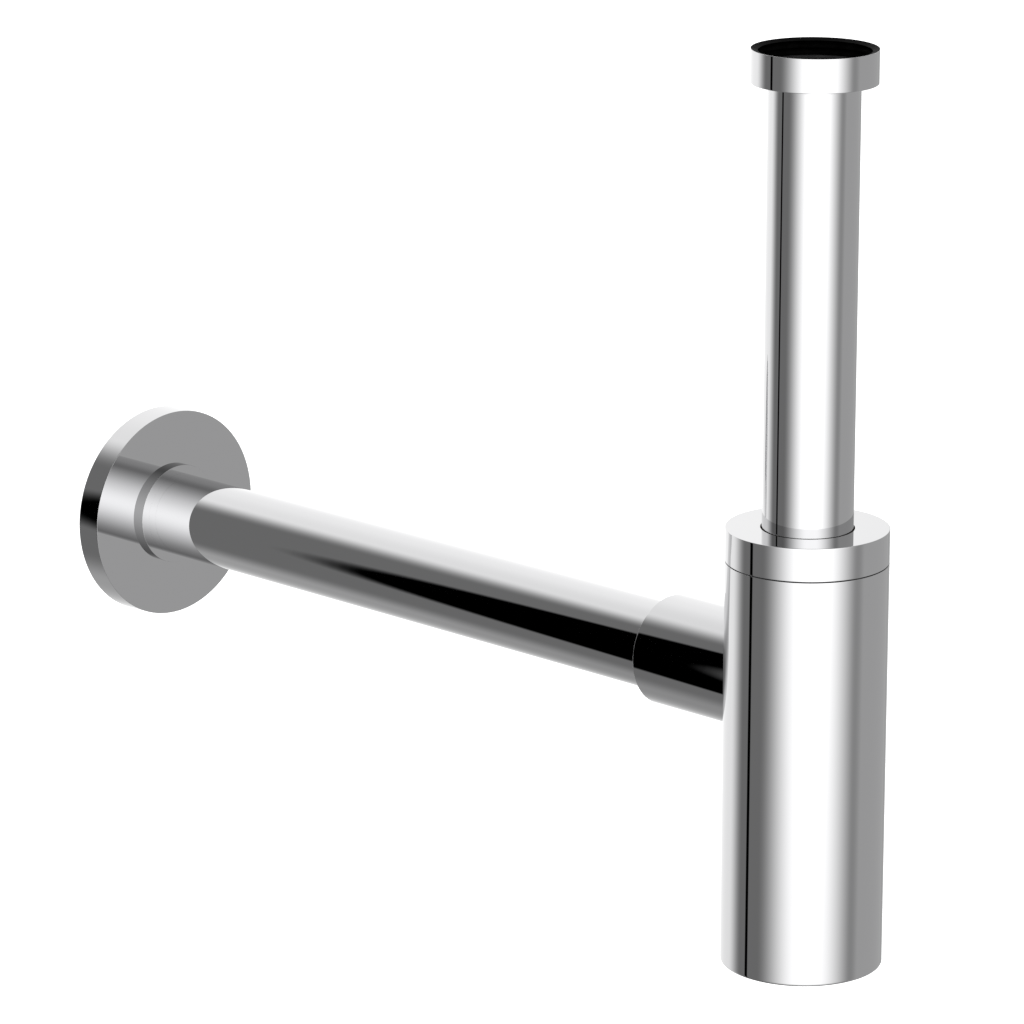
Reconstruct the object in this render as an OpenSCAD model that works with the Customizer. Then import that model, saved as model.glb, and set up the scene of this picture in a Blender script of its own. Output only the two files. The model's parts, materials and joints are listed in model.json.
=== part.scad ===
// Bottle trap for a wash basin: chromed brass, straight inlet tube, side outlet pipe and wall flange.
// The centre line of the inlet is the Z axis and the outlet pipe runs along +Y to the wall.
// The origin is on the centre line at the inner end of the inlet nut's thread.

/* [Body] */
// Outside diameter of the bottle body and its cap
body_d = 57.5; // [50:0.5:80]
// Height of the body below the cap
body_h = 147.1; // [120:0.1:200]
// Wall of the body shell
body_wall = 1.6; // [1.2:0.1:2.5]
// Rounding of the lower edge of the body
body_round = 0.8; // [0.3:0.1:1.5]
// Drop from the top of the body to the outlet's centre line
outlet_drop = 45.7; // [36:0.1:60]

/* [Base and cleanout plug] */
// Thickness of the base disc
base_t = 3; // [2:0.1:4]
// Height of the plug's threaded hub above the underside
hub_h = 12; // [9:0.5:16]
// Wall of the plug's hub around the counterbore
hub_wall = 3.2; // [2:0.1:5]
// Diameter of the plug's thread
plug_d = 29.4; // [24:0.2:34]
// Overhang of the plug's head past its thread
plug_lip = 2.3; // [2.1:0.1:4]
// Thickness of the plug's head
plug_head_t = 2.3; // [2:0.1:4]
// Wall of the plug's cup
plug_wall = 2.4; // [1.5:0.1:4]
// Width of the coin slot
slot_w = 2.6; // [1.5:0.1:4]
// Depth of the coin slot
slot_depth = 1.3; // [0.8:0.1:1.6]
// Length of the coin slot
slot_l = 22; // [14:0.5:26]

/* [Cap] */
// Height of the cap
cap_h = 11.8; // [10:0.1:18]
// Thickness of the cap's top plate
cap_top_t = 2.8; // [2:0.1:4]
// Wall of the cap's skirt
cap_wall = 2.85; // [2:0.05:4]
// Thickness of the gasket in the seam between body and cap
seam_t = 0.4; // [0.3:0.1:1]
// How far the seam gasket lies behind the outside faces
seam_inset = 0.35; // [0.2:0.05:0.8]
// Wall of the neck ring behind its thread
neck_wall = 2.1; // [1.5:0.1:3]
// Depth of the neck ring's skirt inside the body
neck_skirt = 8; // [5:0.5:12]
// Height of the conical tube seal
seal_h = 5.4; // [4:0.1:7]

/* [Inlet] */
// Outside diameter of the inlet tube
tube_d = 32; // [28:0.5:40]
// Wall of the inlet tube
tube_wall = 1; // [0.8:0.1:1.5]
// Distance from the inner end of the inlet thread down to the top of the cap
inlet_rise = 162.8; // [120:0.1:220]
// Gap between the lower end of the inlet tube and the underside of the body
dip_gap = 24; // [18:0.5:50]
// Width of the collar around the top of the tube
collar_w = 3.2; // [2.5:0.1:4]
// Thickness of the collar
collar_t = 1.3; // [1:0.1:2]
// Thickness of the flat inlet gasket
gasket_t = 2.2; // [1.5:0.1:3]
// Thickness of the slip washer under the collar
washer_t = 0.6; // [0.4:0.1:1]
// Thickness of the inlet nut's floor
nut_floor = 2; // [1.5:0.1:3]
// Height of the nut above the inner end of its thread
nut_rise = 5.4; // [5:0.1:9]
// Wall of the nut outside the thread's root
nut_wall = 1.05; // [0.8:0.05:2]
// Depth of the countersink at the thread's mouth
nut_mouth_t = 0.75; // [0.4:0.05:1]

/* [Outlet] */
// Outside diameter of the outlet pipe
pipe_d = 32; // [28:0.5:40]
// Wall of the outlet pipe
pipe_wall = 1; // [0.8:0.1:1.5]
// Distance from the inlet's centre line to the wall
wall_reach = 340.1; // [250:0.1:420]
// Length of pipe beyond the wall's face
spigot_l = 26; // [18:0.5:60]
// Distance of the spigot's insertion mark beyond the wall's face
mark_y = 4; // [2:0.5:8]
// Distance from the inlet's centre line to the open end of the socket
socket_reach = 64; // [58:0.5:80]
// How deep the socket takes the pipe
socket_depth = 28; // [24:0.5:32]
// Free gap between the pipe's end and the socket's shoulder
socket_gap = 2; // [1:0.1:4]
// Metal of the socket outside its seal grooves
socket_wall = 1.6; // [1:0.1:3]
// Wall of the spigot that joins the socket to the body
neck_in_wall = 3; // [2:0.1:4]

/* [Wall flange] */
// Diameter of the flange
flange_d = 82; // [70:0.5:100]
// Depth of the flange from its front face to the wall
flange_t = 10.2; // [8:0.1:16]
// Thickness of the flange's sheet
flange_wall = 2; // [1.2:0.1:3]
// How far the hub stands proud of the front face
hub_proud = 2.6; // [1:0.1:5]
// Metal of the hub outside the ring's groove
flange_hub_wall = 1.1; // [0.8:0.1:3]
// How far the hub stops short of the wall
hub_short = 1.5; // [0.5:0.1:3]

/* [Seals and fits] */
// Thickness of the round seal rings
cord_d = 2; // [1.6:0.1:2.6]
// Radial gap of a part that slides freely on a tube
slide_gap = 0.45; // [0.35:0.05:0.8]
// Radial gap between the wall flange and the outlet pipe
flange_gap = 0.15; // [0.1:0.05:0.5]
// Radial gap between a seal and the tube that it grips
grip_gap = 0.1; // [0.05:0.01:0.15]
// Gap between a seal and the groove or seat that holds it
groove_gap = 0.3; // [0.25:0.05:0.5]
// Radial gap between screw threads
thread_gap = 0.3; // [0.25:0.05:0.5]
// Rounding of the outside edges
edge = 0.4; // [0.2:0.1:0.8]

/* [Hidden] */
$fn = 96;

// Allowance that carries a cut past a face
over = 1;

// Inlet thread: 11 threads to the inch with a 55 degree flank
inlet_pitch = 25.4 / 11;
inlet_thread_depth = 1.479;
inlet_land = 0.6;
inlet_land_below = 0.1;
collar_gap = 0.276;
gasket_gap = 0.3;

// Screw threads of the cap and the plug
screw_pitch = 2;
screw_depth = 0.5;
screw_crest = 0.5;

// Radii on the inlet's centre line
tube_r = tube_d / 2;
tube_bore_r = tube_r - tube_wall;
slide_r = tube_r + slide_gap;
grip_r = tube_r + grip_gap;
collar_r = tube_r + collar_w;
inlet_minor_r = collar_r + collar_gap;
inlet_major_r = inlet_minor_r + inlet_thread_depth;
nut_r = inlet_major_r + nut_wall;
countersink_r = inlet_major_r + nut_wall * 0.3;
body_r = body_d / 2;
body_bore_r = body_r - body_wall;
neck_thread_r = body_r - cap_wall - thread_gap;
neck_bore_r = neck_thread_r - neck_wall;

// Heights at the inlet
nut_top = nut_rise;
countersink_low = nut_top - nut_mouth_t;
gasket_top = -gasket_gap;
gasket_low = gasket_top - gasket_t;
collar_low = gasket_low - collar_t;
washer_low = collar_low - washer_t;
nut_low = washer_low - nut_floor;

// Heights of the body, and the cap
cap_top = -inlet_rise;
cap_low = cap_top - cap_h;
body_top = cap_low - seam_t;
body_low = body_top - body_h;
cap_under = cap_top - cap_top_t;
outlet_z = body_top - outlet_drop;
dip_low = body_low + dip_gap;

// Neck ring: the shelf carries the tube seal in a conical seat
neck_top = cap_under - 1.2;
shelf_top = body_top + 0.6;
shelf_low = body_top - 1.8;
seal_low = shelf_top;
seal_top = seal_low + seal_h;
seal_wide_r = neck_bore_r - groove_gap - 0.3;
seal_narrow_r = grip_r + (seal_wide_r - grip_r) * 0.4;
skirt_bore_r = body_bore_r - 2.1;

// Plug, its seal and its hub
plug_r = plug_d / 2;
plug_hole_r = plug_r + thread_gap;
plug_head_r = plug_r + plug_lip;
sink_r = plug_head_r + thread_gap;
hub_r = sink_r + hub_wall;
plug_head_low = body_low + 0.2;
plug_head_top = plug_head_low + plug_head_t;
plug_seal_r = 0.9;
plug_seal_z = plug_head_top + plug_seal_r + grip_gap;
sink_top = plug_seal_z + plug_seal_r + grip_gap;
plug_top = body_low + hub_h - 1;

// Distances along the outlet
pipe_r = pipe_d / 2;
pipe_bore_r = pipe_r - pipe_wall;
pipe_slide_r = pipe_r + slide_gap;
flange_bore_r = pipe_r + flange_gap;
cord_r = cord_d / 2;
cord_ring_r = pipe_r + grip_gap + cord_r;
groove_r = cord_ring_r + cord_r + groove_gap;
groove_w = cord_d + 2 * groove_gap;
socket_r = groove_r + socket_wall;
spigot_in_r = pipe_bore_r + neck_in_wall;
shoulder_y = socket_reach - socket_depth;
pipe_start = shoulder_y + socket_gap;
pipe_end = wall_reach + spigot_l;
outer_seal_y = socket_reach - 5;
inner_seal_y = outer_seal_y - 6;

// Wall flange
flange_r = flange_d / 2;
flange_front = wall_reach - flange_t;
hub_front = flange_front - hub_proud;
hub_back = wall_reach - hub_short;
flange_hub_r = groove_r + flange_hub_wall;
flange_seal_y = flange_front + 2;

// Turns local +Z to +Y, at the outlet's height
module outlet_line() {
    translate([0, 0, outlet_z]) rotate([-90, 0, 0]) children();
}

// Solid of revolution from (radius, height) points
module lathe(points) {
    rotate_extrude() polygon(points);
}

// Plain ring
module ring(r_out, r_in, low, high) {
    difference() {
        translate([0, 0, low]) cylinder(r = r_out, h = high - low);
        translate([0, 0, low - over]) cylinder(r = r_in, h = high - low + 2 * over);
    }
}

// Cylinder whose two outside edges are rounded by e_low and e_high
module soft_cylinder(r, low, high, e_low, e_high) {
    rotate_extrude() {
        translate([0, low]) square([r - max(e_low, e_high), high - low]);
        translate([0, low + e_low]) square([r, high - low - e_low - e_high]);
        translate([r - e_low, low + e_low]) circle(r = e_low);
        translate([r - e_high, high - e_high]) circle(r = e_high);
    }
}

// Ring of round section
module seal_ring(centre_r, section_r, z) {
    rotate_extrude() translate([centre_r, z]) circle(r = section_r, $fn = 32);
}

// Grooves of a male thread, cut from crest radius r between two heights
module thread_grooves(r, low, high) {
    turns = floor((high - low) / screw_pitch);
    for (i = [0 : turns - 1]) {
        start = low + i * screw_pitch + screw_crest / 2;
        stop = start + screw_pitch - screw_crest;
        lathe([[r - screw_depth, (start + stop) / 2], [r + over, start - over], [r + over, stop + over]]);
    }
}

// Edge points of the inlet thread, from its lowest land up to the mouth
function inlet_thread_points(turns) = [
    for (i = [0 : turns])
        let (
            land = i * inlet_pitch - inlet_land_below,
            flank = (inlet_pitch - inlet_land) * 0.45
        )
        each i < turns ? [
            [inlet_minor_r, land],
            [inlet_minor_r, land + inlet_land],
            [inlet_major_r, land + inlet_land + flank],
            [inlet_major_r, land + inlet_pitch - flank]
        ] : [[inlet_minor_r, land]]
];

// Inlet nut: threaded inside, with a floor that catches the collar
module inlet_nut() {
    turns = floor(countersink_low / inlet_pitch);
    undercut_r = inlet_minor_r + 0.4;
    color("lightgray") difference() {
        soft_cylinder(nut_r, nut_low, nut_top, edge, edge);
        lathe(concat(
            [[0, nut_low - over], [slide_r, nut_low - over], [slide_r, washer_low], [undercut_r, washer_low]],
            [[undercut_r, -inlet_land_below]],
            inlet_thread_points(turns),
            [[inlet_minor_r, countersink_low], [countersink_r, nut_top]],
            [[countersink_r, nut_top + over], [0, nut_top + over]]
        ));
    }
}

// Flat rubber gasket that the waste's thread presses on the collar
module inlet_gasket() {
    color("dimgray") ring(collar_r - 0.1, tube_bore_r + 0.4, gasket_low, gasket_top);
}

// Nylon washer between collar and nut, which grips the tube lightly
module inlet_slip_washer() {
    color("ivory") ring(collar_r, grip_r, washer_low, collar_low);
}

// Inlet tube: its lower end dips into the water seal
module inlet_tube() {
    color("lightgray") ring(tube_r, tube_bore_r, dip_low, gasket_low);
}

// Brass collar brazed round the top of the tube
module tube_collar() {
    color("goldenrod") ring(collar_r, tube_r, collar_low, gasket_low);
}

// Cap that screws on the neck and presses the tube seal
module cap_nut() {
    color("lightgray") difference() {
        soft_cylinder(body_r, cap_low, cap_top, edge / 2, edge);
        translate([0, 0, cap_low - over]) cylinder(r = slide_r, h = cap_h + 2 * over);
        translate([0, 0, cap_low - over]) cylinder(r = neck_thread_r + thread_gap, h = cap_h - cap_top_t + over);
    }
}

// Nylon ring that turns the cap's screw force into straight pressure on the seal
module cap_slip_ring() {
    color("ivory") ring(neck_bore_r - groove_gap, slide_r + 0.1, seal_top, cap_under);
}

// Conical rubber seal round the inlet tube
module tube_seal() {
    color("dimgray") lathe([
        [grip_r, seal_low], [seal_narrow_r, seal_low], [seal_wide_r, seal_top - 0.8],
        [seal_wide_r, seal_top], [grip_r, seal_top]
    ]);
}

// Brass neck brazed in the body: male thread outside, conical seat inside
module neck_ring() {
    color("goldenrod") difference() {
        lathe([
            [slide_r, shelf_low], [skirt_bore_r, shelf_low], [skirt_bore_r, body_top - neck_skirt],
            [body_bore_r, body_top - neck_skirt], [body_bore_r, body_top], [neck_thread_r, body_top],
            [neck_thread_r, neck_top], [neck_bore_r, neck_top], [neck_bore_r, seal_top - 0.8],
            [seal_narrow_r + groove_gap * 1.3, shelf_top], [slide_r, shelf_top]
        ]);
        thread_grooves(neck_thread_r, body_top + 1, neck_top);
    }
}

// Thin black gasket that shows as the seam under the cap
module seam_gasket() {
    color("dimgray") ring(body_r - seam_inset, neck_thread_r + thread_gap, body_top, cap_low);
}

// Body shell: a tube with one side hole for the socket's spigot
module body_shell() {
    color("lightgray") difference() {
        soft_cylinder(body_r, body_low, body_top, body_round, edge / 2);
        translate([0, 0, body_low - over]) cylinder(r = body_bore_r, h = body_h + 2 * over);
        outlet_line() cylinder(r = spigot_in_r, h = body_d);
    }
}

// Base disc brazed in the lower end, with the plug's hub
module body_base() {
    color("silver") difference() {
        union() {
            translate([0, 0, body_low + 0.2]) cylinder(r = body_bore_r, h = base_t);
            translate([0, 0, body_low + 0.2]) cylinder(r = hub_r, h = hub_h - 0.2);
        }
        translate([0, 0, body_low - over]) cylinder(r = plug_hole_r, h = hub_h + 2 * over);
        translate([0, 0, body_low - over]) cylinder(r = sink_r, h = sink_top - body_low + over);
    }
}

// Cleanout plug: a hollow screw with a coin slot
module cleanout_plug() {
    color("lightgray") difference() {
        union() {
            soft_cylinder(plug_head_r, plug_head_low, plug_head_top, edge, edge / 2);
            translate([0, 0, plug_head_low]) cylinder(r = plug_r, h = plug_top - plug_head_low);
        }
        translate([0, 0, plug_head_top]) cylinder(r = plug_r - plug_wall, h = hub_h);
        translate([-slot_l / 2, -slot_w / 2, plug_head_low - over]) cube([slot_l, slot_w, slot_depth + over]);
        thread_grooves(plug_r, sink_top, plug_top);
    }
}

// Seal ring under the plug's head
module plug_seal() {
    color("dimgray") seal_ring(plug_r + grip_gap + plug_seal_r, plug_seal_r, plug_seal_z);
}

// Outlet socket: a sleeve that sits on the body and a spigot that passes through its wall
module outlet_socket() {
    color("lightgray") difference() {
        union() {
            difference() {
                outlet_line() soft_cylinder(socket_r, 0, socket_reach, edge, edge);
                translate([0, 0, body_low]) cylinder(r = body_r, h = body_h);
            }
            difference() {
                outlet_line() cylinder(r = spigot_in_r, h = body_r);
                translate([0, 0, body_low]) cylinder(r = body_bore_r, h = body_h);
            }
        }
        outlet_line() {
            translate([0, 0, -over]) cylinder(r = pipe_bore_r, h = socket_reach + 2 * over);
            translate([0, 0, shoulder_y]) cylinder(r = pipe_slide_r, h = socket_depth + over);
            for (y = [inner_seal_y, outer_seal_y])
                translate([0, 0, y - groove_w / 2]) cylinder(r = groove_r, h = groove_w);
        }
    }
}

// Seal rings in the socket's two grooves
module socket_inner_seal() {
    color("dimgray") outlet_line() seal_ring(cord_ring_r, cord_r, inner_seal_y);
}

module socket_outer_seal() {
    color("dimgray") outlet_line() seal_ring(cord_ring_r, cord_r, outer_seal_y);
}

// Outlet pipe: the stretch past the insertion mark is the free spigot
module outlet_pipe() {
    mark_w = 1.2;
    mark_depth = 0.3;
    bevel = 0.5;
    mark = wall_reach + mark_y;
    color("lightgray") outlet_line() lathe([
        [pipe_bore_r, pipe_start], [pipe_r - bevel, pipe_start], [pipe_r, pipe_start + bevel],
        [pipe_r, mark], [pipe_r - mark_depth, mark], [pipe_r - mark_depth, mark + mark_w],
        [pipe_r, mark + mark_w], [pipe_r, pipe_end - bevel], [pipe_r - bevel, pipe_end], [pipe_bore_r, pipe_end]
    ]);
}

// Wall flange: a hollow-backed disc with a hub that slides on the pipe
module wall_flange() {
    color("lightgray") outlet_line() difference() {
        union() {
            difference() {
                soft_cylinder(flange_r, flange_front, wall_reach, edge, edge / 2);
                translate([0, 0, flange_front + flange_wall])
                    cylinder(r = flange_r - flange_wall, h = flange_t);
            }
            soft_cylinder(flange_hub_r, hub_front, flange_front + edge, edge, edge / 2);
            translate([0, 0, flange_front + edge]) cylinder(r = flange_hub_r, h = hub_back - flange_front - edge);
        }
        translate([0, 0, hub_front - over]) cylinder(r = flange_bore_r, h = flange_t + hub_proud + 2 * over);
        translate([0, 0, flange_seal_y - groove_w / 2]) cylinder(r = groove_r, h = groove_w);
    }
}

// Seal ring that holds the flange where it is put on the pipe
module flange_seal() {
    color("dimgray") outlet_line() seal_ring(cord_ring_r, cord_r, flange_seal_y);
}

inlet_nut();
inlet_gasket();
inlet_slip_washer();
inlet_tube();
tube_collar();
cap_nut();
cap_slip_ring();
tube_seal();
neck_ring();
seam_gasket();
body_shell();
body_base();
cleanout_plug();
plug_seal();
outlet_socket();
socket_inner_seal();
socket_outer_seal();
outlet_pipe();
wall_flange();
flange_seal();
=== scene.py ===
"""Chromed bottle trap in a plain studio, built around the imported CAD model. Metres, +Z up, outlet +Y."""
import json
import math

import bmesh
import bpy
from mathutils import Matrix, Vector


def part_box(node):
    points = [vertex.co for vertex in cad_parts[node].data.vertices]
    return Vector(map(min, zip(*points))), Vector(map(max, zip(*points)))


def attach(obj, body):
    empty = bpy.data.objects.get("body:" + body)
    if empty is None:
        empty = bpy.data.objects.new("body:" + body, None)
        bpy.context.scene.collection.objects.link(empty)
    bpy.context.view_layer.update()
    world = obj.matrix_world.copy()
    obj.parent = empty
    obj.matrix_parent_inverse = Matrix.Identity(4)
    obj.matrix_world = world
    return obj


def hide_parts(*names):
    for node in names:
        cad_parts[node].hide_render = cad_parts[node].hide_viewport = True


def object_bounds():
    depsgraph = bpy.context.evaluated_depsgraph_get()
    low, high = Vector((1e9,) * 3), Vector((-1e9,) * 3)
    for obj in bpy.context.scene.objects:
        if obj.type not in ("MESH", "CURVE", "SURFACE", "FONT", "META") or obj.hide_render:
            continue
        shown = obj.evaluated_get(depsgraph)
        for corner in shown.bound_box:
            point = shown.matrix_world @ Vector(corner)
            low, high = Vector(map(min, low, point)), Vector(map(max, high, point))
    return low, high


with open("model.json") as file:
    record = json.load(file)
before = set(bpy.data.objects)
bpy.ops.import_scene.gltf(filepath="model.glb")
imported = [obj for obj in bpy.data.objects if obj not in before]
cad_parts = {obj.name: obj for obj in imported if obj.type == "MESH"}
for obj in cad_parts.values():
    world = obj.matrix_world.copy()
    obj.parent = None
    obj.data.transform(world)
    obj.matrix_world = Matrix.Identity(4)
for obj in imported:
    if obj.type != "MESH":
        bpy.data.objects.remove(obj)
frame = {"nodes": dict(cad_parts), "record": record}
cad_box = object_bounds()
record = frame["record"]
MM = 0.001

# ---------------------------------------------------------------- camera and floor
VIEW_AZIMUTH = math.radians(-45.6)
VIEW_ELEVATION = math.radians(15.3)
VIEW_DISTANCE = 1.76
AIM = (-0.060, 0.085, -0.162)
SENSOR = 36.0
LENS = 176.5
FLOOR_DROP = 0.25           # from the trap's lowest point down to the floor
FLOOR_HALF = 15.0
FLOOR_SHADE = 0.97
FLOOR_ROUGHNESS = 0.9
FLOOR_GLOW = 0.6

# ---------------------------------------------------------------- studio
# Soft lights in a dim room. Turn is the direction from +X towards +Y and lift is the height, in degrees.
# Each is at full strength within its half width and half height, and fades out over its blur and fade.
ROOM_GLOW = 0.13
SOFTBOX = {"turn": -130, "width": 10, "blur": 65, "lift": 5, "height": 0, "fade": 70, "strength": 1.35}
FILL = {"turn": 70, "width": 25, "blur": 30, "lift": 15, "height": 20, "fade": 60, "strength": 0.65}
GREY_CARD = {"turn": -20, "width": 30, "blur": 20, "lift": 0, "height": 80, "fade": 10, "strength": 0.17}
# A tall narrow black flag, with its half widths and reaches in degrees too.
FLAG_TURN = 138.0
FLAG_WIDTH = 2.5
FLAG_SOFT = 0.6
FLAG_LEAN = 13.0            # grows with the square of the height, to this much straight up or down
FLAG_REACH = 34             # how far it stands above and below eye level
FLAG_FADE = 2               # and what its ends take to fade out
HALF_TURN = 180.0
CHROME_TONE = 0.58          # share of light that chromium plating reflects
# painted shade: a darker chrome for the hub's side, standing in for the shade in the corner between hub and
# plate
PAINTED_SHADE_TONE = 0.42 * CHROME_TONE
PAPER_GLOW = 1.02           # the backdrop, as the camera sees it
SOFT_BELOW = 0.3            # what lights the matt surfaces from straight below
SOFT_ABOVE = 1.1            # and from high up
SOFT_HEIGHT = 0.6

# ---------------------------------------------------------------- colours, linear
BORE_CLEAN = (0.46, 0.35, 0.19, 1.0)
BORE_STAINED = (0.25, 0.19, 0.12, 1.0)
# painted shade: near-black for the nut's thread and countersunk mouth, standing in for the shade in that
# recess; the two differ at random
THREAD_SHADE_BLACK = (0.001, 0.001, 0.001, 1.0)
THREAD_SHADE_MOTTLE = (0.004, 0.004, 0.004, 1.0)
BRASS_BRIGHT = (0.78, 0.57, 0.24, 1.0)
BRASS_DULL = (0.52, 0.36, 0.15, 1.0)
RUBBER_DARK = (0.012, 0.012, 0.013, 1.0)
RUBBER_BLOOM = (0.035, 0.035, 0.036, 1.0)
NYLON_LIGHT = (0.80, 0.78, 0.70, 1.0)
NYLON_DARK = (0.70, 0.67, 0.58, 1.0)

# ---------------------------------------------------------------- places and sizes from the CAD
mounts = {mount["name"]: mount for mount in record["mounts"]}
OUTLET_Z = mounts["wall_face"]["pos_m"][2]
THREAD_CREST = mounts["inlet_thread"]["dims"]["r_mm"] * MM
TUBE_LOW, TUBE_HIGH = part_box("inlet_tube")
PIPE_LOW, PIPE_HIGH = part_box("outlet_pipe")
NUT_LOW, NUT_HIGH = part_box("inlet_nut")
NUT_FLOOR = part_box("inlet_slip_washer")[0].z
CAP_LOW, CAP_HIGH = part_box("cap_nut")
BODY_LOW, BODY_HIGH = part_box("body_shell")
SOCKET_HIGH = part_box("outlet_socket")[1]
FLANGE_LOW, FLANGE_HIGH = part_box("wall_flange")
TUBE_R = TUBE_HIGH.x
PIPE_R = PIPE_HIGH.x

# ---------------------------------------------------------------- sizes that the CAD boxes don't give
TURN_STEPS = 320                      # faces round a turned piece
ROUND_STEPS = 6                       # faces across a rounded edge
CREASE = math.radians(28)
LIP = 0.12 * MM                       # softening of a machined edge
GUARD = 0.25 * MM                     # from a rounding to the loop that keeps the wall beside it straight
MOST_OF_SIDE = 0.48                   # a rounding and its guard use at most this share of a side
SAME_POINT = 1e-7

WALL = 1.0 * MM                       # of the tube and the pipe
SLIDE_R = TUBE_R + 0.45 * MM          # hole that slides over the tube

THREAD_PITCH = 25.4 / 11 * MM         # 11 turns to the inch
THREAD_DEPTH = 1.479 * MM
THREAD_LAND = 0.6 * MM
THREAD_FLANK = 0.45 * (THREAD_PITCH - THREAD_LAND)
THREAD_BELOW = 0.1 * MM
THREAD_TURNS = 2
UNDERCUT = 0.4 * MM
MOUTH_DEPTH = 0.75 * MM
MOUTH_WALL = 0.16 * MM

CAP_TOP_T = 2.8 * MM
CAP_EDGE = 0.25 * MM
CAP_SKIRT_WALL = 2.85 * MM

BODY_WALL = 1.6 * MM
BODY_ROUND = 0.8 * MM
HOLE_ROW = 1.0 * MM                   # close rows of faces round the outlet
HOLE_ROWS = 22                        # of them above the outlet's line, and as many below
HOLE_OUTSIDE = 19.0 * MM
HOLE_INSIDE = 17.2 * MM

SOCKET_BORE_GAP = 0.45 * MM
SHOULDER = 28.0 * MM                  # from the socket's mouth to the step that stops the pipe
NECK_WALL = 3.0 * MM
SINK = 0.3 * MM                       # of the socket's end into the body's wall
GROOVE_R = 18.4 * MM                  # grooves of the socket's and the flange's seals
GROOVE_HALF = 1.3 * MM

MARK_FROM_WALL = 4.0 * MM             # insertion mark, a groove round the pipe's hidden end
MARK_WIDTH = 1.2 * MM
MARK_DEPTH = 0.3 * MM

FLANGE_T = 10.2 * MM
FLANGE_WALL = 2.0 * MM
RIM_TAPER = 0.30 * MM
EDGE_SPUN = 0.06 * MM
HUB_R = 19.5 * MM
HUB_BACK = 1.5 * MM
BORE_GAP = 0.005 * MM


# ---------------------------------------------------------------- shader helper
class Shader:
    """Adds and wires shader nodes."""

    def __init__(self, tree):
        self.tree = tree
        tree.nodes.clear()

    def put(self, socket, value):
        """Links an output to the socket, or sets a constant on it."""
        if isinstance(value, bpy.types.NodeSocket):
            self.tree.links.new(value, socket)
        else:
            socket.default_value = value

    def add(self, kind, inputs=None, **settings):
        made = self.tree.nodes.new(kind)
        for name, value in settings.items():
            setattr(made, name, value)
        for name, value in (inputs or {}).items():
            self.put(made.inputs[name], value)
        return made

    def calculate(self, operation, first, second=0.0, third=0.0):
        return self.add("ShaderNodeMath", {0: first, 1: second, 2: third}, operation=operation).outputs[0]

    def span(self, value, low, high, to_low=0.0, to_high=1.0, smooth=False):
        """The value's place between low and high, as one between to_low and to_high."""
        limits = {"Value": value, "From Min": low, "From Max": high, "To Min": to_low, "To Max": to_high}
        kind = "SMOOTHSTEP" if smooth else "LINEAR"
        return self.add("ShaderNodeMapRange", limits, interpolation_type=kind).outputs["Result"]

    def mix(self, factor, first, second):
        made = self.add("ShaderNodeMix", {"Factor": factor}, data_type="RGBA")
        self.put(made.inputs[6], first)
        self.put(made.inputs[7], second)
        return made.outputs[2]

    def noise(self, spot, scale, detail):
        inputs = {"Vector": spot, "Scale": scale, "Detail": detail}
        return self.add("ShaderNodeTexNoise", inputs).outputs["Fac"]

    def bump(self, height, depth):
        inputs = {"Height": height, "Distance": depth, "Strength": 1.0}
        return self.add("ShaderNodeBump", inputs).outputs["Normal"]

    def finish(self, **inputs):
        """Ends the material with a principled surface."""
        named = {key.replace("_", " "): value for key, value in inputs.items()}
        surface = self.add("ShaderNodeBsdfPrincipled", named)
        self.add("ShaderNodeOutputMaterial", {"Surface": surface.outputs[0]})


def tone(level):
    """Linear grey that shows as this level."""
    linear = level ** 2.2
    return (linear, linear, linear, 1.0)


# ---------------------------------------------------------------- camera, world and floor
def add_object(name, data):
    made = bpy.data.objects.new(name, data)
    bpy.context.scene.collection.objects.link(made)
    return made


def make_camera():
    flat = math.cos(VIEW_ELEVATION)
    back = (math.sin(VIEW_AZIMUTH) * flat, -math.cos(VIEW_AZIMUTH) * flat, math.sin(VIEW_ELEVATION))
    data = bpy.data.cameras.new("camera")
    data.sensor_width = SENSOR
    data.lens = LENS
    data.clip_end = 2 * FLOOR_HALF
    camera = add_object("camera", data)
    camera.location = [near + VIEW_DISTANCE * step for near, step in zip(AIM, back)]
    camera.rotation_euler = (math.pi / 2 - VIEW_ELEVATION, 0.0, VIEW_AZIMUTH)
    bpy.context.scene.camera = camera


def soft_light(shader, turn, lift, light):
    """Glow of one soft light in the ray's direction."""
    aside = shader.calculate("SUBTRACT", turn, light["turn"])
    aside = shader.calculate("WRAP", aside, HALF_TURN, -HALF_TURN)
    aside = shader.calculate("ABSOLUTE", aside)
    above = shader.calculate("ABSOLUTE", shader.calculate("SUBTRACT", lift, light["lift"]))
    across = shader.span(aside, light["width"] + light["blur"], light["width"], smooth=True)
    along = shader.span(above, light["height"] + light["fade"], light["height"], smooth=True)
    return shader.calculate("MULTIPLY", shader.calculate("MULTIPLY", across, along), light["strength"])


def past_flag(shader, turn, height):
    """0 where the ray meets the black flag, 1 where it passes."""
    lean = shader.calculate("MULTIPLY", shader.calculate("POWER", height, 2.0), FLAG_LEAN)
    aside = shader.calculate("SUBTRACT", shader.calculate("ADD", turn, lean), FLAG_TURN)
    aside = shader.calculate("ABSOLUTE", aside)
    clear = shader.span(aside, FLAG_WIDTH - FLAG_SOFT, FLAG_WIDTH + FLAG_SOFT, smooth=True)
    end = math.sin(math.radians(FLAG_REACH))
    faded = math.sin(math.radians(FLAG_REACH + FLAG_FADE))
    beyond = shader.span(shader.calculate("ABSOLUTE", height), end, faded)
    return shader.calculate("MAXIMUM", clear, beyond)


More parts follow.
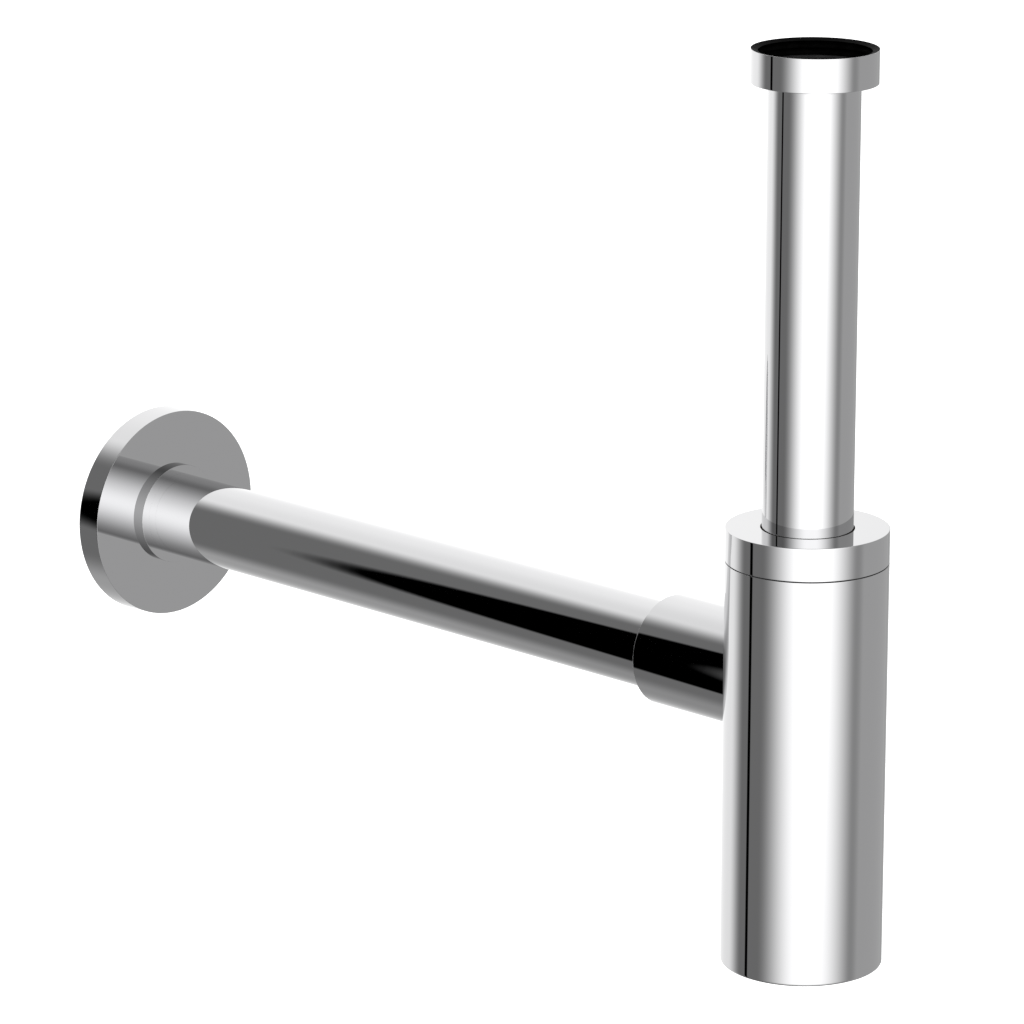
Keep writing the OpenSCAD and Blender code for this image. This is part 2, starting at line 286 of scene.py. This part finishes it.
def make_studio(shader):
    """Glow of the studio in the direction of the ray, and the height of that direction."""
    direction = shader.add("ShaderNodeTexCoord").outputs["Generated"]
    x, y, height = shader.add("ShaderNodeSeparateXYZ", {"Vector": direction}).outputs
    turn = shader.calculate("DEGREES", shader.calculate("ARCTAN2", y, x))
    lift = shader.calculate("DEGREES", shader.calculate("ARCSINE", height))
    glow = ROOM_GLOW
    for light in (SOFTBOX, FILL, GREY_CARD):
        glow = shader.calculate("ADD", soft_light(shader, turn, lift, light), glow)
    glow = shader.calculate("MULTIPLY", glow, past_flag(shader, turn, height))
    return shader.calculate("DIVIDE", glow, CHROME_TONE), height


def make_world():
    """White paper for the camera, even soft light for matt surfaces, and the studio for mirrored rays."""
    world = bpy.data.worlds.new("studio")
    bpy.context.scene.world = world
    world.use_nodes = True
    shader = Shader(world.node_tree)
    glow, height = make_studio(shader)
    evenly = shader.span(height, -1.0, SOFT_HEIGHT, SOFT_BELOW, SOFT_ABOVE)
    mirrored = shader.add("ShaderNodeBackground", {"Color": tone(1.0), "Strength": glow}).outputs[0]
    soft = shader.add("ShaderNodeBackground", {"Color": tone(1.0), "Strength": evenly}).outputs[0]
    paper = shader.add("ShaderNodeBackground", {"Color": tone(1.0), "Strength": PAPER_GLOW}).outputs[0]
    ray = shader.add("ShaderNodeLightPath").outputs
    lit = shader.add("ShaderNodeMixShader", {0: ray["Is Glossy Ray"], 1: soft, 2: mirrored}).outputs[0]
    seen = shader.add("ShaderNodeMixShader", {0: ray["Is Camera Ray"], 1: lit, 2: paper}).outputs[0]
    shader.add("ShaderNodeOutputWorld", {"Surface": seen})


def floor_paper():
    """Pale paper that can be looked through from below."""
    material = bpy.data.materials.new("floor_white")
    material.use_nodes = True
    shader = Shader(material.node_tree)
    paper = shader.add("ShaderNodeBsdfPrincipled", {
        "Base Color": tone(FLOOR_SHADE), "Roughness": FLOOR_ROUGHNESS,
        "Emission Color": tone(1.0), "Emission Strength": FLOOR_GLOW})
    clear = shader.add("ShaderNodeBsdfTransparent")
    under = shader.add("ShaderNodeNewGeometry").outputs["Backfacing"]
    surface = shader.add("ShaderNodeMixShader", {0: under, 1: paper.outputs[0], 2: clear.outputs[0]})
    shader.add("ShaderNodeOutputMaterial", {"Surface": surface.outputs[0]})
    return material


def make_floor():
    mesh = bpy.data.meshes.new("floor")
    level = cad_box[0][2] - FLOOR_DROP
    far = FLOOR_HALF
    corners = [(-far, -far, level), (far, -far, level), (far, far, level), (-far, far, level)]
    mesh.from_pydata(corners, [], [(0, 1, 2, 3)])
    mesh.materials.append(floor_paper())
    floor = add_object("floor", mesh)
    floor.visible_glossy = False


# ---------------------------------------------------------------- materials
def new_material(name):
    """A new material, its shader helper, and the spot on the object as the helper's coordinates."""
    material = bpy.data.materials.new(name)
    material.use_nodes = True
    shader = Shader(material.node_tree)
    return material, shader, shader.add("ShaderNodeTexCoord").outputs["Object"]


def plating(name, share):
    """Chromium plating: a clear mirror with faint wipe marks and the last waviness of the polish."""
    material, shader, spot = new_material(name)
    smear = shader.noise(spot, scale=24.0, detail=4.0)
    fine = shader.noise(spot, scale=2500.0, detail=2.0)
    wave = shader.noise(spot, scale=190.0, detail=1.0)
    marks = shader.calculate("MULTIPLY", shader.span(smear, 0.45, 0.75), shader.span(fine, 0.3, 0.8))
    shader.finish(
        Base_Color=(share, share, share * 1.01, 1.0),
        Metallic=1.0,
        Roughness=shader.span(marks, 0.0, 1.0, to_low=0.012, to_high=0.03),
        Normal=shader.bump(wave, depth=0.0006 * MM),
    )
    return material


def bare_bore():
    """Unplated side of the brass: dull, brown, with stains and a fine drawn grain."""
    material, shader, spot = new_material("bare_bore")
    stain_and_shade_mottle = shader.noise(spot, scale=140.0, detail=5.0)
    grain = shader.noise(spot, scale=3000.0, detail=2.0)
    shader.finish(
        Base_Color=shader.mix(shader.span(stain_and_shade_mottle, 0.35, 0.7), BORE_CLEAN, BORE_STAINED),
        Metallic=1.0,
        Roughness=shader.span(stain_and_shade_mottle, 0.2, 0.8, to_low=0.34, to_high=0.6),
        Normal=shader.bump(grain, depth=0.01 * MM),
    )
    return material


def thread_painted_shade():
    """Inside of the nut: painted shade, a matt near-black in the thread's recess and the countersunk mouth,
    with a dull sheen along the thread.
    """
    material, shader, spot = new_material("thread_painted_shade")
    stain_and_shade_mottle = shader.noise(spot, scale=260.0, detail=5.0)
    grain = shader.noise(spot, scale=3600.0, detail=2.0)
    shader.finish(
        Base_Color=shader.mix(shader.span(stain_and_shade_mottle, 0.35, 0.7), THREAD_SHADE_BLACK, THREAD_SHADE_MOTTLE),
        Roughness=shader.span(stain_and_shade_mottle, 0.2, 0.8, to_low=0.3, to_high=0.5),
        Specular_IOR_Level=0.004,
        Normal=shader.bump(grain, depth=0.006 * MM),
    )
    return material


def turned_brass():
    """Brass as it leaves the lathe: fine rings, slightly tarnished."""
    material, shader, spot = new_material("raw_brass")
    tarnish = shader.noise(spot, scale=90.0, detail=5.0)
    wave = {"Vector": spot, "Scale": 900.0, "Distortion": 0.4, "Detail": 1.0}
    rings = shader.add("ShaderNodeTexWave", wave, bands_direction="Z").outputs["Fac"]
    shader.finish(
        Base_Color=shader.mix(shader.span(tarnish, 0.35, 0.75), BRASS_BRIGHT, BRASS_DULL),
        Metallic=1.0,
        Roughness=shader.span(tarnish, 0.2, 0.8, to_low=0.2, to_high=0.42),
        Normal=shader.bump(rings, depth=0.01 * MM),
    )
    return material


def moulded_rubber():
    """Black seal rubber: fine grain, chalky where it bloomed."""
    material, shader, spot = new_material("black_rubber")
    bloom = shader.noise(spot, scale=160.0, detail=6.0)
    grain = shader.noise(spot, scale=4200.0, detail=3.0)
    shader.finish(
        Base_Color=shader.mix(shader.span(bloom, 0.45, 0.8), RUBBER_DARK, RUBBER_BLOOM),
        Roughness=shader.span(bloom, 0.2, 0.8, to_low=0.45, to_high=0.75),
        Specular_IOR_Level=0.35,
        Normal=shader.bump(grain, depth=0.03 * MM),
    )
    return material


def moulded_nylon():
    """Natural nylon: slightly yellow, soft in the light, with a satin skin."""
    material, shader, spot = new_material("white_nylon")
    cloud = shader.noise(spot, scale=110.0, detail=4.0)
    skin = shader.noise(spot, scale=2600.0, detail=3.0)
    shader.finish(
        Base_Color=shader.mix(cloud, NYLON_LIGHT, NYLON_DARK),
        Subsurface_Weight=0.25,
        Subsurface_Scale=1.0 * MM,
        Roughness=shader.span(cloud, 0.2, 0.8, to_low=0.32, to_high=0.5),
        Normal=shader.bump(skin, depth=0.01 * MM),
    )
    return material


FINISH = {
    "chrome_plate": plating("chrome_plate", CHROME_TONE),
    # painted shade for the hub's side
    "chrome_painted_shade": plating("chrome_painted_shade", PAINTED_SHADE_TONE),
    "bare_bore": bare_bore(),
    # painted shade for the nut's thread and mouth
    "thread_painted_shade": thread_painted_shade(),
    "raw_brass": turned_brass(),
    "black_rubber": moulded_rubber(),
    "white_nylon": moulded_nylon(),
}


def paint_cad_nodes():
    for part in record["subparts"]:
        mesh = frame["nodes"][part["node"]].data
        mesh.materials.clear()
        mesh.materials.append(FINISH[part["material_slot"]])


# ---------------------------------------------------------------- turned shapes
def blend(first, second, share):
    return tuple(a + (b - a) * share for a, b in zip(first, second))


def towards(point, other, distance):
    """The point moved that far towards the other, and never past the middle."""
    return blend(point, other, min(distance / math.dist(point, other), MOST_OF_SIDE))


def soften(points):
    """Closed outline of (radius, height, rounding) corners, rounded and with a guard loop on either side."""
    outline = []
    for index, (radius, height, rounding) in enumerate(points):
        here = (radius, height)
        if rounding == 0:
            outline.append(here)
            continue
        before = points[index - 1][:2]
        after = points[(index + 1) % len(points)][:2]
        start = towards(here, before, rounding)
        end = towards(here, after, rounding)
        outline.append(towards(here, before, rounding + GUARD))
        for part in range(ROUND_STEPS + 1):
            share = part / ROUND_STEPS
            outline.append(blend(blend(start, here, share), blend(here, end, share), share))
        outline.append(towards(here, after, rounding + GUARD))
    return outline


def clean(outline):
    """The outline without points that fall on the one before."""
    lasts = outline[-1:] + outline[:-1]
    return [point for point, last in zip(outline, lasts) if math.dist(point, last) > SAME_POINT]


def turn_outline(name, outline, line_z=None):
    """Solid made by turning a closed outline round the inlet's line, or round a line along Y at line_z."""
    count = len(outline)
    points = []
    for number in range(TURN_STEPS):
        angle = 2 * math.pi * number / TURN_STEPS
        for radius, height in outline:
            across = radius * math.cos(angle)
            other = radius * math.sin(angle)
            points.append((across, other, height) if line_z is None else (across, height, line_z - other))
    faces = []
    for number in range(TURN_STEPS):
        here = number * count
        there = (number + 1) % TURN_STEPS * count
        for index in range(count):
            after = (index + 1) % count
            faces.append((here + index, there + index, there + after, here + after))
    mesh = bpy.data.meshes.new(name)
    mesh.from_pydata(points, [], faces)
    mesh.update()
    return mesh


def turn_round_inlet(name, corners):
    return turn_outline(name, clean(soften(corners)))


def turn_round_outlet(name, corners, backwards=False):
    """Backwards keeps the faces outward where the corners run clockwise."""
    outline = clean(soften(corners))
    return turn_outline(name, outline[::-1] if backwards else outline, OUTLET_Z)


def out_from_inlet(point):
    """Distance of a point from the inlet's centre line."""
    return math.hypot(point[0], point[1])


def out_from_outlet(point):
    """Distance of a point from the outlet's centre line."""
    return math.hypot(point[0], point[2] - OUTLET_Z)


def dress(mesh, inner, inside="bare_bore"):
    """Smooth shading with crisp corners, plated but for the faces that inner() picks."""
    mesh.materials.append(FINISH["chrome_plate"])
    mesh.materials.append(FINISH[inside])
    for face in mesh.polygons:
        face.material_index = 1 if inner(face.center) else 0
    mesh.shade_smooth()
    mesh.set_sharp_from_angle(angle=CREASE)


def put_in_place(name, mesh, node, body):
    piece = add_object(name, mesh)
    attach(piece, body)
    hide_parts(node)


# ---------------------------------------------------------------- pieces
def nut_thread():
    """Corners of the nut's thread, from the top turn down to the bottom one."""
    root = THREAD_CREST + THREAD_DEPTH
    corners = []
    for turn in reversed(range(THREAD_TURNS)):
        land = turn * THREAD_PITCH - THREAD_BELOW
        corners.append((root, land + THREAD_PITCH - THREAD_FLANK, 0))
        corners.append((root, land + THREAD_LAND + THREAD_FLANK, 0))
        corners.append((THREAD_CREST, land + THREAD_LAND, 0))
        corners.append((THREAD_CREST, land, 0))
    return corners


def make_nut():
    """Inlet nut, with a countersunk mouth and level rings for its thread."""
    outside = NUT_HIGH.x
    low = NUT_LOW.z
    top = NUT_HIGH.z
    mouth = outside - MOUTH_WALL
    relief = THREAD_CREST + UNDERCUT
    corners = [(SLIDE_R, low, LIP), (outside, low, 2 * LIP), (outside, top, LIP / 2), (mouth, top, LIP / 2)]
    corners.append((THREAD_CREST, top - MOUTH_DEPTH, 0))
    corners.append((THREAD_CREST, THREAD_TURNS * THREAD_PITCH - THREAD_BELOW, 0))
    corners += nut_thread()
    corners += [(relief, -THREAD_BELOW, 0), (relief, NUT_FLOOR, 0), (SLIDE_R, NUT_FLOOR, 0)]
    mesh = turn_round_inlet("inlet_nut_turned", corners)
    edge = mouth + LIP / 4
    # painted shade: the thread and the countersunk mouth inside this edge get the near-black material
    dress(mesh, lambda centre: out_from_inlet(centre) < edge and centre.z > low + LIP, "thread_painted_shade")
    put_in_place("inlet_nut_turned", mesh, "inlet_nut", "nut")


def make_tube():
    low = TUBE_LOW.z
    top = TUBE_HIGH.z
    bore = TUBE_R - WALL
    corners = [(TUBE_R, low, LIP), (TUBE_R, top, LIP), (bore, top, LIP), (bore, low, LIP)]
    mesh = turn_round_inlet("inlet_tube_turned", corners)
    dress(mesh, lambda centre: out_from_inlet(centre) < bore + WALL / 4)
    put_in_place("inlet_tube_turned", mesh, "inlet_tube", "tube")


def make_cap():
    outside = CAP_HIGH.x
    low = CAP_LOW.z
    top = CAP_HIGH.z
    under = top - CAP_TOP_T
    bore = outside - CAP_SKIRT_WALL
    corners = [
        (outside, low, LIP), (outside, top, CAP_EDGE), (SLIDE_R, top, LIP),
        (SLIDE_R, under, 0), (bore, under, 0), (bore, low, LIP),
    ]
    mesh = turn_round_inlet("cap_nut_turned", corners)
    dress(mesh, lambda centre: out_from_inlet(centre) < bore + LIP and centre.z < top - 3 * LIP)
    put_in_place("cap_nut_turned", mesh, "cap_nut", "cap")


def make_body():
    """Body tube. Its rows are close round the outlet, where the wall is open behind the socket."""
    outside = BODY_HIGH.x
    bore = outside - BODY_WALL
    low = BODY_LOW.z
    top = BODY_HIGH.z
    rows = [OUTLET_Z + index * HOLE_ROW for index in range(-HOLE_ROWS, HOLE_ROWS + 1)]
    corners = [(outside, low, BODY_ROUND)] + [(outside, row, 0) for row in rows] + [(outside, top, LIP)]
    corners += [(bore, top, LIP)] + [(bore, row, 0) for row in reversed(rows)] + [(bore, low, LIP)]
    mesh = turn_round_inlet("body_shell_turned", corners)
    dress(mesh, lambda centre: out_from_inlet(centre) < bore + LIP)
    open_wall(mesh, (bore + outside) / 2)
    put_in_place("body_shell_turned", mesh, "body_shell", "root")


def open_wall(mesh, middle):
    """Takes away the faces of the wall that the socket's spigot passes through."""
    work = bmesh.new()
    work.from_mesh(mesh)
    gone = []
    for face in work.faces:
        centre = face.calc_center_median()
        reach = HOLE_OUTSIDE if out_from_inlet(centre) > middle else HOLE_INSIDE
        if centre.y > 0 and out_from_outlet(centre) < reach:
            gone.append(face)
    bmesh.ops.delete(work, geom=gone, context="FACES")
    work.to_mesh(mesh)
    work.free()


def seal_groove(seal, bore):
    """Corners of the groove that holds a seal, from its side near the body to its side near the wall."""
    low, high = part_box(seal)
    middle = (low.y + high.y) / 2
    start = middle - GROOVE_HALF
    end = middle + GROOVE_HALF
    return [(bore, start, 0), (GROOVE_R, start, 0), (GROOVE_R, end, 0), (bore, end, 0)]


def make_socket():
    """Outlet socket, with its inner end shaped to the body."""
    outside = SOCKET_HIGH.x
    end = SOCKET_HIGH.y
    body_r = BODY_HIGH.x
    bore = PIPE_R + SOCKET_BORE_GAP
    neck_r = PIPE_R - WALL
    spigot_r = neck_r + NECK_WALL
    start = body_r - BODY_WALL
    shoulder = end - SHOULDER
    corners = [(spigot_r, start, 0), (spigot_r, body_r, 0), (outside, body_r, 0)]
    corners += [(outside, end, LIP / 2), (bore, end, LIP)]
    for seal in ("socket_outer_seal", "socket_inner_seal"):
        corners += reversed(seal_groove(seal, bore))
    corners += [(bore, shoulder, 0), (neck_r, shoulder, 0), (neck_r, start, 0)]
    mesh = turn_round_outlet("outlet_socket_turned", corners, backwards=True)
    for point in mesh.vertices:
        if point.co.y < body_r + LIP:
            wall = start if point.co.y < start + LIP else body_r - SINK
            point.co.y = math.sqrt(wall * wall - point.co.x * point.co.x)
    mesh.update()
    dress(mesh, lambda centre: out_from_outlet(centre) < outside - 2 * LIP and centre.y < end - LIP)
    put_in_place("outlet_socket_turned", mesh, "outlet_socket", "root")


def make_pipe():
    """Outlet pipe, with the mark for its insertion near the end in the wall."""
    low = PIPE_LOW.y
    high = PIPE_HIGH.y
    bore = PIPE_R - WALL
    marked_r = PIPE_R - MARK_DEPTH
    mark = FLANGE_HIGH.y + MARK_FROM_WALL
    mark_end = mark + MARK_WIDTH
    corners = [
        (PIPE_R, low, 2 * LIP), (PIPE_R, mark, LIP), (marked_r, mark, LIP),
        (marked_r, mark_end, LIP), (PIPE_R, mark_end, LIP),
        (PIPE_R, high, 3 * LIP), (bore, high, LIP), (bore, low, LIP),
    ]
    mesh = turn_round_outlet("outlet_pipe_drawn", corners, backwards=True)
    dress(mesh, lambda centre: out_from_outlet(centre) < bore + WALL / 4)
    put_in_place("outlet_pipe_drawn", mesh, "outlet_pipe", "pipe")


def make_flange():
    """Wall flange: spun plate with a slightly tapered rim, hollow behind, and its hub."""
    outside = FLANGE_HIGH.x
    wall = FLANGE_HIGH.y
    front = wall - FLANGE_T
    behind = front + FLANGE_WALL
    hub_front = FLANGE_LOW.y
    hub_back = wall - HUB_BACK
    bore = PIPE_R + BORE_GAP
    hollow_r = outside - FLANGE_WALL
    corners = [
        (outside, wall, LIP), (outside - RIM_TAPER, front, EDGE_SPUN),
        (HUB_R, front, 0), (HUB_R, hub_front, LIP), (bore, hub_front, 0),
    ]
    corners += seal_groove("flange_seal", bore)
    corners += [
        (bore, hub_back, LIP), (HUB_R, hub_back, LIP), (HUB_R, behind, 0),
        (hollow_r, behind, 0), (hollow_r, wall, LIP),
    ]
    mesh = turn_round_outlet("wall_flange_spun", corners)
    rim_middle = outside - FLANGE_WALL / 2
    plate_middle = front + FLANGE_WALL / 2
    dress(mesh, lambda centre: out_from_outlet(centre) < rim_middle and centre.y > plate_middle)
    shade_hub(mesh, front)
    put_in_place("wall_flange_spun", mesh, "wall_flange", "flange")


def shade_hub(mesh, front):
    """Painted shade: darker plating on the hub's side, standing in for the shade down in the corner between
    hub and plate.
    """
    mesh.materials.append(FINISH["chrome_painted_shade"])
    for face in mesh.polygons:
        if abs(out_from_outlet(face.center) - HUB_R) < 0.2 * LIP and face.center.y < front:
            face.material_index = 2


# ---------------------------------------------------------------- build
make_camera()
make_world()
make_floor()
paint_cad_nodes()
make_nut()
make_tube()
make_cap()
make_body()
make_socket()
make_pipe()
make_flange()
bpy.context.scene.view_settings.view_transform = "Standard"
